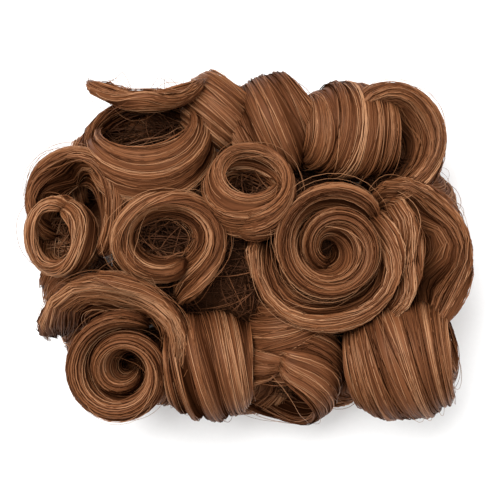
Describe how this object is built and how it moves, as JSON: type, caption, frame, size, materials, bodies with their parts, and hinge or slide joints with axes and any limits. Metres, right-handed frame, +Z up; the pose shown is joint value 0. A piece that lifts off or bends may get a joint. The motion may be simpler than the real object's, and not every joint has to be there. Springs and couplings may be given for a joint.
{
  "type": "curly chignon hairpiece",
  "caption": "Oval hairpiece of rolled curls on a sewn weft base, held in the hair by facing side combs joined by elastic cords.",
  "frame": {"origin": "centre of the bounding box's underside, on the surface that the combs rest on", "axes": "+X along the long side, from one comb towards the other; +Z up from the combs through the curls"},
  "size_m": [0.2026, 0.1592, 0.0739],
  "materials": {
    "hair": "silky auburn hair",
    "weft": "dark sewn weft",
    "amber_plastic": "glossy translucent amber",
    "elastic": "twisted rust brown elastic"
  },
  "bodies": {
    "root": {"centre_knot": "hair", "comb_left": "amber_plastic", "comb_right": "amber_plastic", "curl_big_rosette": "hair", "curl_centre_ring": "hair", "curl_crescent": "hair", "curl_left_ring": "hair", "curl_low_centre_barrel": "hair", "curl_low_edge_loop": "hair", "curl_low_left_rosette": "hair", "curl_low_right_barrel": "hair", "curl_open_loop": "hair", "curl_top_right_barrel": "hair", "curl_top_right_ring": "hair", "elastic_lower": "elastic", "elastic_upper": "elastic", "lock_left_arch": "hair", "lock_low_band": "hair", "lock_low_left_arch": "hair", "lock_low_sweep": "hair", "lock_open_loop_flap": "hair", "lock_right_arch": "hair", "lock_right_inner": "hair", "lock_top_band": "hair", "lock_top_left_band": "hair", "rim_lock_01": "hair", "rim_lock_02": "hair", "rim_lock_03": "hair", "rim_lock_04": "hair", "rim_lock_05": "hair", "rim_lock_06": "hair", "rim_lock_07": "hair", "rim_lock_08": "hair", "rim_lock_09": "hair", "rim_lock_10": "hair", "rim_lock_11": "hair", "rim_lock_12": "hair", "rim_lock_13": "hair", "rim_lock_14": "hair", "weft_base": "weft"}
  },
  "joints": []
}
